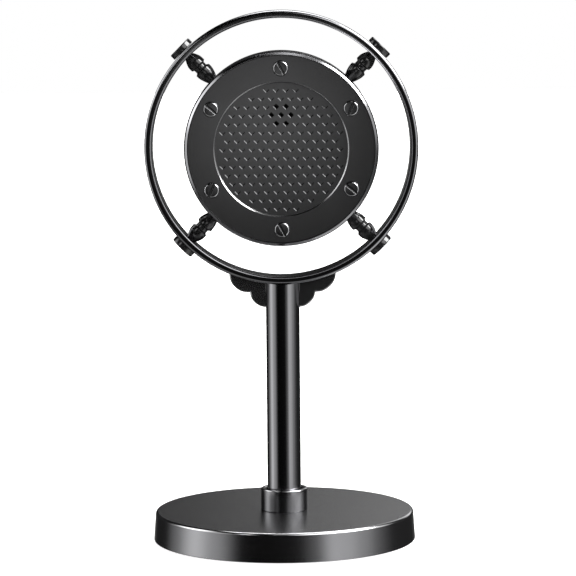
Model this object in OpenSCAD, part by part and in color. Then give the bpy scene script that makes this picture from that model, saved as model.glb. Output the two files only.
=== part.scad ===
// Desktop microphone: a round head held in a hoop by four turned posts, on a stem that
// swivels in the collar of a weighted round base.
// Millimetres, +Z up. The microphone faces -Y. Origin: centre of the base's underside.

/* [Base] */
// Diameter of the base at its widest, near the table
base_d = 99.3; // [90:0.1:120]
// Height of the base from the table to its top face
base_h = 11.3; // [10:0.1:14]
// How much narrower the base is at the top than at the bottom
base_draft = 1.5; // [0:0.1:3]
// Radius of the rounded edge round the base's top
base_rim_r = 1.0; // [0.5:0.1:2]

/* [Stem] */
// Diameter of the stem tube
stem_d = 12.7; // [12:0.1:14]
// Outer diameter of the collar round the foot of the stem
collar_d = 17.7; // [17.4:0.1:22]
// Height of the collar above the base
collar_h = 8.4; // [6:0.1:14]

/* [Hoop] */
// Height of the whole microphone, to the top of the hoop
total_h = 200.4; // [190:0.1:230]
// Outer diameter of the hoop
hoop_d = 102.6; // [100:0.1:110]
// Radial thickness of the hoop
hoop_t = 2.9; // [2.5:0.1:3.5]
// Depth of the hoop from front to back
hoop_depth = 12.4; // [11:0.1:16]
// Diameter of the four cap screws' heads
cap_d = 9.4; // [8:0.1:10.5]

/* [Head] */
// Diameter of the head's casing
head_d = 72.5; // [72:0.1:73.5]
// Distance from the hoop's mid plane to the front of the face plate
face_front = 13.8; // [13.2:0.1:15]
// Distance from the hoop's mid plane to the back of the casing
head_back = 9; // [8.8:0.1:9.2]
// Diameter of the opening that shows the grille
grille_d = 49.3; // [49:0.1:50]
// Distance between neighbouring pits of the grille along a row
pit_pitch = 3.64; // [3.3:0.01:3.9]
// Width of a pit across its corners, at its mouth
pit_w = 2.4; // [2.2:0.1:2.9]

/* [Hidden] */
$fn = 96;
TINY = 0.02;                       // film of solder or adhesive between fixed round parts
CUT = 1;                           // how far a cutting shape runs past the face that it cuts
HEX = cos(30);                     // a hexagon's width across its flats over that across its corners

// Levels in the base, from the table up
pad_t = 1.6;                       // foot pad, the only piece that touches the table
skirt_z = 0.4;                     // lower edge of the shell
cover_t = 1.0;
cover_top = pad_t + cover_t;
shell_wall = 2.5;
shell_top_t = 2.4;
cavity_top = base_h - shell_top_t;
base_r = base_d / 2;
cavity_r = base_r - shell_wall;
ballast_r = 44.5;
ballast_bore_r = 13;
pad_r = cavity_r - 0.8;
pad_inner_r = 34;

// Screws and bosses that hold the cover
cover_screw_ring = 27;
cover_screw_angles = [30, 150, 270];
cover_screw_r = 1.25;
boss_r = 3.5;
boss_hole_r = 1.3;
cover_hole_r = 1.6;
boss_clearance_r = boss_r + 0.4;   // hole in the ballast round each boss

// Swivel: a spigot under the stem turns in a bush in the base, with a washer and a nut below
nut_t = 2.0;
washer_t = 0.6;
washer_r = 7.5;
nut_gap = 0.4;                     // free space between the nut and the cover
hub_z = cover_top + nut_gap + nut_t + washer_t;
hub_r = 10;
counterbore_depth = 1.2;
seat_z = base_h - counterbore_depth; // floor of the counterbore that takes the collar and bush
flange_t = 0.8;
stem_z = seat_z + flange_t;        // the stem stands on the bush's flange
bush_r = 5.5;
spigot_r = 4.0;
running_gap = 0.05;
collar_r = collar_d / 2;
collar_bore_r = 7.0;
collar_spigot_r = 8.0;
flange_r = collar_bore_r - 0.1;
foot_len = 14;                     // how far the solid foot reaches up the stem

// Stem, hoop and bracket
stem_r = stem_d / 2;
stem_wall = 1.2;
stem_bore_r = stem_r - stem_wall;
stem_core_r = stem_bore_r - TINY;
hoop_r = hoop_d / 2;
hoop_inner_r = hoop_r - hoop_t;
head_z = total_h - hoop_r;
bracket_t = 4.0;
outer_lobe = [12.8, -47.3, 7.35];  // centre and radius of a wing's outer lobe, from the hoop's centre
inner_lobe = [6.1, -54.0, 6.28];
bracket_bottom = inner_lobe[1] - inner_lobe[2];
ring_screw_r = 2.0;
ring_screw_len = 9;                // reach of the screw below the hoop
ring_screw_head = 2.0;             // depth of its countersunk head
ring_screw_sunk = 0.25;            // depth of the head's top below the hoop's inner face

// Posts: points where the turned outline changes
post_angles = [45, 135, 225, 315];
post_tip = [1.93, TINY * 3];       // [radius, distance in from the hoop]
post_belly = [3.24, 3.7];
post_groove = [2.42, 5.3];
post_shoulder = [3.32, 7.2];
post_root = [2.12, hoop_inner_r - head_d / 2 - TINY];
post_screw_r = 1.5;
post_hole_r = 1.55;                // thread in the post, and in the nut on its stud
clearance_r = 1.6;                 // holes that the posts' screws and studs pass through
stud_len = 4.3;
cap_screw_len = 7;                 // reach of the screw into the post
cap_h = 2.2;

// Head, measured along its own axis from the hoop's mid plane, front positive
head_r = head_d / 2;
shell_side_t = 1.3;
shell_back_t = 1.6;
shell_bore_r = head_r - shell_side_t;
lip_front = face_front + 0.4;      // the casing's lip stands a little proud of the plate
plate_r = shell_bore_r - 0.15;     // loose fit in the casing
plate_t = 2.4;
plate_back = face_front - plate_t;
grille_t = 1.2;
grille_r = 27;
grille_front = plate_back + grille_t;
grille_bevel = 0.5;
grille_recess_r = grille_r + 0.1;
face_screw_ring = 30;
face_screw_angles = [30, 90, 150, 210, 270, 330];
face_slot_angles = [67, 119, 140, 67, 119, 140];
face_screw_r = 1.25;
face_head_r = 2.75;
face_counterbore_r = face_head_r + 0.15;
face_seat = face_front - 1;        // floor of the plate's counterbores
face_screw_end = 3;
pillar_r = 3.0;
pillar_hole_r = 1.3;
pillar_hole_end = 2.5;
casing_floor = -head_back + shell_back_t;

// Grille: pits on a close hexagonal grid, with a cluster of through holes over the capsule
row_pitch = pit_pitch * sin(60);
pit_field_r = 23;
pit_rows = 7;                      // rows on each side of the middle one
pit_depth = 0.2;
pit_floor_w = pit_w - pit_depth * sqrt(8);  // the sides slope at 45 degrees
mouth_over = 0.1;                  // how far a pit's cutting shape rises above the grille
capsule_y = 4 * row_pitch;
cluster_r = pit_pitch * 1.1;

// Electronics
capsule_r = 4.85;
capsule_h = 6.7;
boot_r = 6.8;
lead_r = 0.35;
lead_hole_r = 0.6;
cloth_t = 0.3;
cloth_r = 7;
capsule_front = plate_back - cloth_t;
capsule_back = capsule_front - capsule_h;
lead_len = 1.8;
board_front = capsule_back - lead_len;
board_t = 1.6;
board_back = board_front - board_t;
board_r = 26;
board_screw_ring = 22;
board_screw_angles = [210, 330, 90];
board_screw_r = 0.95;
board_screw_len = 4;               // reach of the screw behind the board
board_boss_r = 2.5;
usb = [8.94, 3.26, 1.63];          // width, height and corner radius of the socket's shell
usb_wall = 0.3;
usb_gap = 0.25;                    // free space round the socket in the casing
usb_y = -14;
lead_spacing = 2.54;

BLACK_CHROME = [0.13, 0.13, 0.14];
CHARCOAL = [0.25, 0.25, 0.26];
STEEL = [0.62, 0.63, 0.65];
RUBBER = [0.07, 0.07, 0.07];

// ---- helpers ----

// A tube or washer from z0 to z1
module tube(outer_r, inner_r, z0, z1) {
    translate([0, 0, z0]) difference() {
        cylinder(r = outer_r, h = z1 - z0);
        translate([0, 0, -CUT]) cylinder(r = inner_r, h = z1 - z0 + 2 * CUT);
    }
}

// A rod from z0 to z1
module rod(r, z0, z1) {
    translate([0, 0, z0]) cylinder(r = r, h = z1 - z0);
}

// Points of a quarter circle that rounds a corner, from angle a0 to a1 about c
function arc(c, r, a0, a1, steps = 6) =
    [for (i = [0 : steps]) let (a = a0 + (a1 - a0) * i / steps) c + r * [cos(a), sin(a)]];

// Children drawn about +Z are set on the head's axis, with +Z towards the front and +Y up
module on_head() {
    translate([0, 0, head_z]) rotate([90, 0, 0]) children();
}

// Children drawn along +Z are set along the hoop's radius at angle a, seen from the front
module on_radius(a) {
    translate([0, 0, head_z]) rotate([0, 90 - a, 0]) children();
}

// Children repeated on a circle about +Z
module on_circle(r, angles) {
    for (a = angles) rotate([0, 0, a]) translate([r, 0, 0]) rotate([0, 0, -a]) children();
}

// ---- base ----

// Cast shell: open below, with a hub for the swivel and three bosses for the cover's screws
module base_shell() {
    top_r = base_r - base_draft / 2;
    bottom_chamfer = 0.3;
    outline = concat(
        [[0, cavity_top], [cavity_r, cavity_top], [cavity_r, skirt_z],
         [base_r - bottom_chamfer, skirt_z], [base_r, skirt_z + bottom_chamfer]],
        arc([top_r - base_rim_r, base_h - base_rim_r], base_rim_r, 0, 90),
        [[0, base_h]]);
    color(CHARCOAL) difference() {
        union() {
            rotate_extrude() polygon(outline);
            rod(hub_r, hub_z, base_h - shell_top_t / 2);
            on_circle(cover_screw_ring, cover_screw_angles)
                rod(boss_r, cover_top, base_h - shell_top_t / 2);
        }
        rod(collar_spigot_r + TINY, seat_z, base_h + CUT);
        rod(bush_r + TINY, hub_z - CUT, base_h);
        on_circle(cover_screw_ring, cover_screw_angles)
            rod(boss_hole_r, cover_top - CUT, cavity_top);
    }
}

// Steel disc that gives the base its weight
module base_ballast() {
    color(STEEL) difference() {
        tube(ballast_r, ballast_bore_r, cover_top, cavity_top);
        on_circle(cover_screw_ring, cover_screw_angles) rod(boss_clearance_r, 0, base_h);
    }
}

// Sheet that closes the base from below
module base_cover() {
    cover_r = cavity_r - 0.3;
    color(STEEL) difference() {
        rod(cover_r, pad_t, cover_top);
        on_circle(cover_screw_ring, cover_screw_angles) rod(cover_hole_r, 0, base_h);
    }
}

// Three slotted pan head screws that hold the cover
module cover_screws() {
    pan_r = 2.75;
    pan_z = 0.3;
    slot_w = 0.8;
    slot_top = 0.9;
    end_gap = 0.5;
    color(STEEL) on_circle(cover_screw_ring, cover_screw_angles) difference() {
        union() {
            rod(pan_r, pan_z, pad_t);
            rod(cover_screw_r, pad_t, cavity_top - end_gap);
        }
        translate([-CUT - pan_r, -slot_w / 2, 0]) cube([2 * (CUT + pan_r), slot_w, slot_top]);
    }
}

// Ring of rubber under the base
module foot_pad() {
    color(RUBBER) tube(pad_r, pad_inner_r, 0, pad_t);
}

// ---- swivel ----

// Turned collar that guides the foot of the stem
module stem_collar() {
    top = base_h + collar_h;
    edge = 0.4;
    color(BLACK_CHROME) rotate_extrude() polygon([
        [collar_bore_r, seat_z], [collar_spigot_r, seat_z], [collar_spigot_r, base_h],
        [collar_r - edge, base_h], [collar_r, base_h + edge], [collar_r, top - edge],
        [collar_r - edge, top], [collar_bore_r + edge, top], [collar_bore_r, top - edge]]);
}

// Flanged plastic bush that the stem turns in
module swivel_bush() {
    color("ivory") difference() {
        union() {
            rod(bush_r, hub_z, seat_z + flange_t / 2);
            rod(flange_r, seat_z, stem_z);
        }
        rod(spigot_r + running_gap, 0, base_h + CUT);
    }
}

// Spring washer between the hub and the nut, which gives the swivel its friction
module swivel_washer() {
    color(STEEL) tube(washer_r, spigot_r + 0.2, hub_z - washer_t, hub_z);
}

// Thin hexagon nut on the spigot
module swivel_nut() {
    nut_flats = 13;
    color(STEEL) difference() {
        translate([0, 0, hub_z - washer_t - nut_t])
            cylinder(d = nut_flats / HEX, h = nut_t, $fn = 6);
        rod(spigot_r + running_gap, 0, base_h);
    }
}

// Solid foot brazed in the tube, with the spigot that the stem turns on
module stem_foot() {
    color(STEEL) union() {
        rod(spigot_r, cover_top + nut_gap, stem_z + CUT);
        rod(stem_core_r, stem_z, stem_z + foot_len);
    }
}

// ---- stem and hoop ----

// Tube of the stem: slotted at the top for the bracket and shaped to the hoop
module stem_tube() {
    slot_w = bracket_t + 2 * TINY;
    color(BLACK_CHROME) difference() {
        tube(stem_r, stem_bore_r, stem_z, head_z - hoop_inner_r);
        translate([-stem_r - CUT, -slot_w / 2, head_z + bracket_bottom - TINY])
            cube([2 * (stem_r + CUT), slot_w, hoop_r]);
        on_head() rod(hoop_r + TINY, -stem_r - CUT, stem_r + CUT);
    }
}

// Scalloped outline of the bracket, seen from the front, about the hoop's centre
module bracket_outline() {
    difference() {
        union() {
            for (side = [-1, 1], lobe = [outer_lobe, inner_lobe])
                translate([side * lobe[0], lobe[1]]) circle(r = lobe[2]);
            translate([-outer_lobe[0], inner_lobe[1]])
                square([2 * outer_lobe[0], outer_lobe[2]]);
        }
        circle(r = hoop_r + TINY, $fn = 256);
    }
}

// Bracket: two scalloped wings under the hoop on a core that fills the top of the stem
module ring_bracket() {
    core_len = 15;
    color(BLACK_CHROME) difference() {
        union() {
            on_head() translate([0, 0, -bracket_t / 2])
                linear_extrude(bracket_t) bracket_outline();
            rod(stem_core_r, head_z - hoop_r - core_len, head_z - hoop_inner_r);
        }
        on_head() rod(hoop_r + TINY, -stem_r - CUT, stem_r + CUT);
        rod(ring_screw_r + 0.05, head_z - hoop_r - ring_screw_len - CUT, head_z);
    }
}

// Countersunk screw from inside the hoop into the bracket
module ring_screw() {
    recess_flats = 2.5;
    recess_depth = 1.2;
    top = head_z - hoop_inner_r - ring_screw_sunk;
    color(STEEL) difference() {
        union() {
            rod(ring_screw_r, head_z - hoop_r - ring_screw_len, top);
            translate([0, 0, top - ring_screw_head])
                cylinder(r1 = ring_screw_r, r2 = ring_screw_r + ring_screw_head, h = ring_screw_head);
        }
        translate([0, 0, top - recess_depth])
            cylinder(d = recess_flats / HEX, h = recess_depth + CUT, $fn = 6);
    }
}

// Hoop of flat bar with rounded edges, drilled for the posts and the bracket's screw
module suspension_ring() {
    inner_edge = 0.3;
    outer_edge = 1.1;
    half = hoop_depth / 2;
    sink_depth = ring_screw_head + ring_screw_sunk + 0.2;
    hole_r = ring_screw_r + 0.1;
    outline = concat(
        arc([hoop_inner_r + inner_edge, inner_edge - half], inner_edge, 180, 270, 2),
        arc([hoop_r - outer_edge, outer_edge - half], outer_edge, 270, 360, 6),
        arc([hoop_r - outer_edge, half - outer_edge], outer_edge, 0, 90, 6),
        arc([hoop_inner_r + inner_edge, half - inner_edge], inner_edge, 90, 180, 2));
    color(BLACK_CHROME) difference() {
        on_head() rotate_extrude($fn = 180) polygon(outline);
        for (a = post_angles) on_radius(a) rod(clearance_r, hoop_inner_r - CUT, hoop_r + CUT);
        on_radius(270) rod(hole_r, hoop_inner_r - CUT, hoop_r + CUT);
        on_radius(270) translate([0, 0, hoop_inner_r - 0.2])
            cylinder(r1 = hole_r + sink_depth, r2 = hole_r, h = sink_depth);
    }
}

// ---- posts ----

// Outline of a bullet's side, from its narrow tip to its wide end
function bullet(tip, wide, steps = 8) =
    [for (i = [0 : steps]) let (s = i / steps)
        [tip[0] + (wide[0] - tip[0]) * sin(90 * s), tip[1] + (wide[1] - tip[1]) * s]];

function flip(points) = [for (i = [len(points) - 1 : -1 : 0]) points[i]];

// One turned post: two bullets back to back on a neck, with a stud into the head
module post(a) {
    belly_flat = [0, 1.0];
    neck = [0, 1.3];
    shoulder_flat = [0, 0.45];
    outline = concat(
        [[0, post_tip[1]]],
        bullet(post_tip, post_belly),
        [post_belly + belly_flat, post_groove, post_groove + neck, post_shoulder],
        flip(bullet(post_root, post_shoulder + shoulder_flat)),
        [[0, post_root[1]]]);
    color(BLACK_CHROME) on_radius(a) difference() {
        union() {
            translate([0, 0, hoop_inner_r]) mirror([0, 0, 1])
                rotate_extrude($fn = 48) polygon(outline);
            rod(post_screw_r, head_r - stud_len, head_r + CUT);
        }
        rod(post_hole_r, hoop_inner_r - cap_screw_len - CUT, hoop_inner_r + CUT);
    }
}

// Four screws with plain low round heads, through the hoop into the posts
module cap_screws() {
    edge = 0.4;
    cap_r = cap_d / 2;
    recess_flats = 3;
    recess_depth = 1.2;
    color(BLACK_CHROME) for (a = post_angles) on_radius(a) difference() {
        union() {
            rod(post_screw_r, hoop_inner_r - cap_screw_len, hoop_r + CUT / 2);
            translate([0, 0, hoop_r + TINY]) rotate_extrude() polygon([
                [0, 0], [cap_r - edge / 2, 0], [cap_r, edge / 2],
                [cap_r, cap_h - edge], [cap_r - edge, cap_h], [0, cap_h]]);
        }
        translate([0, 0, hoop_r + cap_h - recess_depth])
            cylinder(d = recess_flats / HEX, h = cap_h, $fn = 6);
    }
}

// Four hexagon nuts on the posts' studs, inside the casing
module post_nuts() {
    nut_flats = 5.5;
    outer = shell_bore_r - 0.2;
    color(STEEL) for (a = post_angles) on_radius(a) difference() {
        translate([0, 0, outer - nut_t]) cylinder(d = nut_flats / HEX, h = nut_t, $fn = 6);
        rod(post_hole_r, outer - nut_t - CUT, outer + CUT);
    }
}

// ---- head ----

// Turned casing: a cup with rounded back, six pillars for the face screws and three for the board
module head_shell() {
    back_r = 3.0;
    lip_r = 0.5;
    lip_chamfer = 0.2;
    inner_r = back_r - shell_side_t;
    outline = concat(
        [[0, -head_back]],
        arc([head_r - back_r, -head_back + back_r], back_r, -90, 0, 8),
        arc([head_r - lip_r, lip_front - lip_r], lip_r, 0, 90, 4),
        [[shell_bore_r + lip_chamfer, lip_front], [shell_bore_r, lip_front - lip_chamfer]],
        arc([shell_bore_r - inner_r, casing_floor + inner_r], inner_r, 0, -90, 4),
        [[0, casing_floor]]);
    color(BLACK_CHROME) difference() {
        union() {
            on_head() rotate_extrude($fn = 180) polygon(outline);
            on_head() on_circle(face_screw_ring, face_screw_angles)
                rod(pillar_r, casing_floor - CUT / 2, plate_back);
            on_head() on_circle(board_screw_ring, board_screw_angles)
                rod(board_boss_r, casing_floor - CUT / 2, board_back);
        }
        on_head() on_circle(face_screw_ring, face_screw_angles)
            rod(pillar_hole_r, pillar_hole_end, plate_back + CUT);
        on_head() on_circle(board_screw_ring, board_screw_angles)
            rod(board_screw_r + 0.05, board_back - board_screw_len - CUT, board_back + CUT);
        for (a = post_angles) on_radius(a) rod(clearance_r, shell_bore_r - CUT, head_r + CUT);
        on_head() translate([0, usb_y, -head_back - CUT])
            socket_block(usb + usb_gap * [2, 2, 1], shell_back_t + 2 * CUT);
    }
}

// Flat ring on the front of the head, bevelled round the grille
module face_plate() {
    opening_r = grille_d / 2;
    edge = 0.15;
    outline = [[opening_r, grille_front], [opening_r, face_front - grille_bevel],
        [opening_r + grille_bevel, face_front], [plate_r - edge, face_front],
        [plate_r, face_front - edge], [plate_r, plate_back],
        [grille_recess_r, plate_back], [grille_recess_r, grille_front]];
    color(CHARCOAL) on_head() difference() {
        rotate_extrude($fn = 180) polygon(outline);
        on_circle(face_screw_ring, face_screw_angles) {
            rod(clearance_r, 0, lip_front);
            rod(face_counterbore_r, face_seat, lip_front);
        }
    }
}

// Six slotted screws in the face plate
module face_screws() {
    slot_w = 1.1;
    slot_depth = 0.7;
    edge = 0.5;
    head_h = 1.3;
    color(BLACK_CHROME) on_head() for (i = [0 : len(face_screw_angles) - 1])
        rotate([0, 0, face_screw_angles[i]]) translate([face_screw_ring, 0, 0])
            rotate([0, 0, face_slot_angles[i] - face_screw_angles[i]]) difference() {
                union() {
                    rod(face_screw_r, face_screw_end, face_seat + CUT / 2);
                    translate([0, 0, face_seat]) rotate_extrude() polygon([[0, 0],
                        [face_head_r, 0], [face_head_r, head_h - edge],
                        [face_head_r - edge, head_h], [0, head_h]]);
                }
                translate([-face_head_r - CUT, -slot_w / 2, face_seat + head_h - slot_depth])
                    cube([2 * (face_head_r + CUT), slot_w, CUT]);
            }
}

// Places of the pits that pass a test: even rows are centred and odd rows half a pitch aside
function pit_places(through) = [
    for (row = [-pit_rows : pit_rows], col = [-pit_rows : pit_rows])
        let (p = [(col + (row % 2 == 0 ? 0 : 0.5)) * pit_pitch, row * row_pitch])
            if (norm(p) <= pit_field_r && (norm(p - [0, capsule_y]) < cluster_r) == through) p];

// Diamond pit with sloping sides and a flat floor
module pit() {
    translate([0, 0, grille_front - pit_depth]) cylinder(d1 = pit_floor_w,
        d2 = pit_w + mouth_over * sqrt(8), h = pit_depth + mouth_over, $fn = 4);
}

// Grille: a disc of blind pits, of which seven are cut right through in front of the capsule
module grille_plate() {
    color(CHARCOAL) on_head() difference() {
        rod(grille_r, plate_back, grille_front);
        for (p = concat(pit_places(false), pit_places(true))) translate([p[0], p[1], 0]) pit();
        for (p = pit_places(true)) translate([p[0], p[1], plate_back - CUT])
            cylinder(d = pit_floor_w, h = grille_t + CUT, $fn = 4);
    }
}

// ---- inside the head ----

// Disc of acoustic cloth between the through holes and the capsule
module dust_cloth() {
    color(RUBBER) on_head() translate([0, capsule_y, 0]) rod(cloth_r, capsule_front, plate_back);
}

// Electret capsule
module capsule() {
    color(STEEL) on_head() translate([0, capsule_y, 0])
        rod(capsule_r, capsule_back, capsule_front);
}

// Rubber cup that holds the capsule on the board, with two holes for its leads
module capsule_boot() {
    color(RUBBER) on_head() translate([0, capsule_y, 0]) difference() {
        rod(boot_r, board_front, capsule_front);
        rod(capsule_r + TINY, capsule_back, capsule_front + CUT);
        for (side = [-1, 1]) translate([side * lead_spacing / 2, 0, 0])
            rod(lead_hole_r, board_front - CUT, capsule_back + CUT);
    }
}

// Two leads from the capsule to the board
module capsule_leads() {
    color("gold") on_head() for (side = [-1, 1])
        translate([side * lead_spacing / 2, capsule_y, 0]) rod(lead_r, board_front, capsule_back);
}

// Round circuit board across the casing
module circuit_board() {
    color("darkgreen") on_head() difference() {
        rod(board_r, board_back, board_front);
        on_circle(board_screw_ring, board_screw_angles)
            rod(board_screw_r + 0.15, board_back - CUT, board_front + CUT);
    }
}

// Converter chip on the board
module codec_chip() {
    chip = [7, 7, 0.9];
    lower_edge = -9;
    color(RUBBER) on_head() translate([-chip[0] / 2, lower_edge, board_front]) cube(chip);
}

// Block with rounded ends: width, height and corner radius, along +Z
module socket_block(size, h) {
    linear_extrude(h) union() {
        square([size[0] - 2 * size[2], size[1]], center = true);
        for (side = [-1, 1]) translate([side * (size[0] / 2 - size[2]), 0]) circle(r = size[1] / 2);
    }
}

// Reversible 24-way socket for the lead, facing the back of the head
module usb_socket() {
    inner = [usb[0] - 2 * usb_wall, usb[1] - 2 * usb_wall, usb[2] - usb_wall];
    depth = head_back + board_back;
    floor_t = 3.5;
    tongue = [6.7, 0.7, depth - floor_t];
    tongue_in = 1;
    color(STEEL) on_head() translate([0, usb_y, -head_back]) union() {
        difference() {
            socket_block(usb, depth);
            translate([0, 0, -CUT]) socket_block(inner, depth - floor_t + CUT);
        }
        translate([-tongue[0] / 2, -tongue[1] / 2, tongue_in]) cube(tongue);
    }
}

// Three small screws that hold the board
module board_screws() {
    screw_head_r = 1.9;
    head_h = 1.3;
    slot_w = 0.5;
    slot_depth = 0.6;
    color(STEEL) on_head() on_circle(board_screw_ring, board_screw_angles) difference() {
        union() {
            rod(board_screw_r, board_back - board_screw_len, board_front + CUT / 2);
            rod(screw_head_r, board_front, board_front + head_h);
        }
        translate([-screw_head_r - CUT, -slot_w / 2, board_front + head_h - slot_depth])
            cube([2 * (screw_head_r + CUT), slot_w, CUT]);
    }
}

base_shell();
base_ballast();
base_cover();
cover_screws();
foot_pad();
stem_collar();
swivel_bush();
swivel_washer();
swivel_nut();
stem_foot();
stem_tube();
ring_bracket();
ring_screw();
suspension_ring();
post(post_angles[0]);  // post_upper_right
post(post_angles[1]);  // post_upper_left
post(post_angles[2]);  // post_lower_left
post(post_angles[3]);  // post_lower_right
cap_screws();
post_nuts();
head_shell();
face_plate();
face_screws();
grille_plate();
dust_cloth();
capsule();
capsule_boot();
capsule_leads();
circuit_board();
codec_chip();
usb_socket();
board_screws();
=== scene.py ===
"""Looks of a desktop microphone: a round head in a hoop, on a stem and a weighted base."""

import math

import bmesh
import bpy
from mathutils import Matrix, Vector
from mathutils.geometry import delaunay_2d_cdt


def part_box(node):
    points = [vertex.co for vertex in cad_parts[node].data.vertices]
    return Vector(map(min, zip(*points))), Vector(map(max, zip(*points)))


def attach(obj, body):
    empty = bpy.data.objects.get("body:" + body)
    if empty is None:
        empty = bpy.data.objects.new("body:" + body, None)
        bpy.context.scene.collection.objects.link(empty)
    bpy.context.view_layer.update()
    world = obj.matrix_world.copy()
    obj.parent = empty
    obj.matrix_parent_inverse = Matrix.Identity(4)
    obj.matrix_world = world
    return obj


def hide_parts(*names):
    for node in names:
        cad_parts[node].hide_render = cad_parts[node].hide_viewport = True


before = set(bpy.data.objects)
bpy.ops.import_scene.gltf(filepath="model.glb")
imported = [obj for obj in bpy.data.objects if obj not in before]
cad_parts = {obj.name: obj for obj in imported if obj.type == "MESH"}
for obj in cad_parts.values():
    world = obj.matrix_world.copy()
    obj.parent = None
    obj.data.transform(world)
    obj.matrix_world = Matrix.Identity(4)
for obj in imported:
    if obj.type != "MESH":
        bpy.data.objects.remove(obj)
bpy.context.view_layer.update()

MM = 0.001
BASE = "base"
UPPER = "upper"

# How many sides round shapes have
FINE_SEGMENTS = 256
SEGMENTS = 192
CLOTH_SPOKES = 144
MEDIUM_SEGMENTS = 128
HEAD_SEGMENTS = 72
SMALL_SEGMENTS = 64
PILLAR_SIDES = 48
SHANK_SEGMENTS = 32
BEAD_SEGMENTS = 16

SHARP_ANGLE = math.radians(32)
# Part of a normal along an axis, above which its face lies flat across that axis
FLAT = 0.97
# Smallest distances, in millimetres, at which points count as apart
MERGE = 1e-4
TINY = 1e-6

# ---- sizes, in millimetres, placed by the boxes of the frame's nodes ----


def box_mm(node):
    """Lowest and highest corner of a CAD node, in millimetres."""
    low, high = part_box(node)
    return low / MM, high / MM


hoop_low, hoop_high = box_mm("suspension_ring")
HEAD_Z = (hoop_low.z + hoop_high.z) / 2
HOOP_R = (hoop_high.x - hoop_low.x) / 2
HOOP_HALF = (hoop_high.y - hoop_low.y) / 2
HOOP_T = 2.9
HOOP_INNER_R = HOOP_R - HOOP_T

shell_low, shell_high = box_mm("head_shell")
HEAD_R = (shell_high.x - shell_low.x) / 2
HEAD_BACK = shell_high.y
LIP_FRONT = -shell_low.y
SHELL_SIDE_T = 1.3
SHELL_BACK_T = 1.6

plate_low, plate_high = box_mm("face_plate")
PLATE_R = (plate_high.x - plate_low.x) / 2
FACE_FRONT = -plate_low.y
PLATE_BACK = -plate_high.y

grille_low, grille_high = box_mm("grille_plate")
GRILLE_R = (grille_high.x - grille_low.x) / 2
GRILLE_FRONT = -grille_low.y
GRILLE_BACK = -grille_high.y
OPENING_R = 24.65
PIT_PITCH = 3.64
ROW_PITCH = PIT_PITCH * math.sin(math.radians(60))
PIT_ROWS = 7
PIT_FIELD_R = 23.0
PIT_HALF = 1.2
PIT_DEPTH = 0.22
# Widths of a pit's four sloping sides, from the upper right one on
PIT_SIDES = (0.03, 0.03, 0.31, 0.31)
CLUSTER_ROW = 4

base_low, base_high = box_mm("base_shell")
BASE_R = (base_high.x - base_low.x) / 2
BASE_TOP = base_high.z
SKIRT_Z = base_low.z
BASE_DRAFT = 0.75

collar_low, collar_high = box_mm("stem_collar")
COLLAR_R = (collar_high.x - collar_low.x) / 2
COLLAR_FOOT_R = 8.0
stem_low, stem_high = box_mm("stem_tube")
STEM_R = (stem_high.x - stem_low.x) / 2
STEM_WALL = 1.2
# Film of space between pieces that fit tightly, and the reach of a cutting tool past what it cuts
FILM = 0.02
CLEAR = 1
SADDLE_R = HOOP_R + FILM
BRACKET_HALF = 2.0

POST_ANGLES = {
    "post_upper_right": 45, "post_upper_left": 135, "post_lower_left": 225, "post_lower_right": 315,
}
COVER_SCREW_ANGLES = (30, 150, 270)
BOARD_SCREW_ANGLES = (90, 210, 330)
POST_SCREW_R = 1.5
POST_SCREW_REACH = 7
FACE_SCREW_RING = 30.0
SCREW_SEAT_DEPTH = 1
# Where each face screw sits round the plate, and the angle at which its slot came to rest
FACE_SCREWS = {30: 67, 90: 119, 150: 140, 210: 67, 270: 119, 330: 140}

UPRIGHT = Matrix.Identity(4)
QUARTER = math.radians(90)
ON_HEAD_TURN = Matrix.Rotation(QUARTER, 4, "X")
ON_HEAD = Matrix.Translation((0, 0, HEAD_Z)) @ ON_HEAD_TURN


def on_radius(angle):
    """Matrix that sets +Z along the hoop's radius at an angle seen from the front."""
    return Matrix.Translation((0, 0, HEAD_Z)) @ Matrix.Rotation(math.radians(90 - angle), 4, "Y")


# ---- outlines ----


def corner_arc(before, corner, after, radius, steps):
    """Points of the arc that rounds one corner of an outline."""
    to_before = (before - corner).normalized()
    to_after = (after - corner).normalized()
    half = to_before.angle(to_after) / 2
    reach = radius / math.tan(half)
    centre = corner + (to_before + to_after).normalized() * radius / math.sin(half)
    start = corner + to_before * reach - centre
    sweep = math.pi - 2 * half
    turn = 1 if to_before.x * to_after.y - to_before.y * to_after.x < 0 else -1
    return [centre + Matrix.Rotation(turn * sweep * i / steps, 2) @ start for i in range(steps + 1)]


def rounded(corners, steps=6):
    """Closed outline from corners (r, h) or (r, h, radius). A corner with a radius becomes an arc."""
    points = [Vector(c[:2]) for c in corners]
    outline = []
    for i, corner in enumerate(corners):
        radius = corner[2] if len(corner) > 2 else 0
        if radius:
            after = points[(i + 1) % len(points)]
            outline += corner_arc(points[i - 1], points[i], after, radius, steps)
        else:
            outline.append(points[i])
    return outline


def bullet(tip, wide, steps=14):
    """Side of a bullet from its narrow tip to its wide end, as (radius, height) points."""
    swell = [(i / steps, math.sin(math.pi / 2 * i / steps)) for i in range(steps + 1)]
    return [(tip[0] + (wide[0] - tip[0]) * s, tip[1] + (wide[1] - tip[1]) * t) for t, s in swell]


# ---- mesh helpers ----


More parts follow.
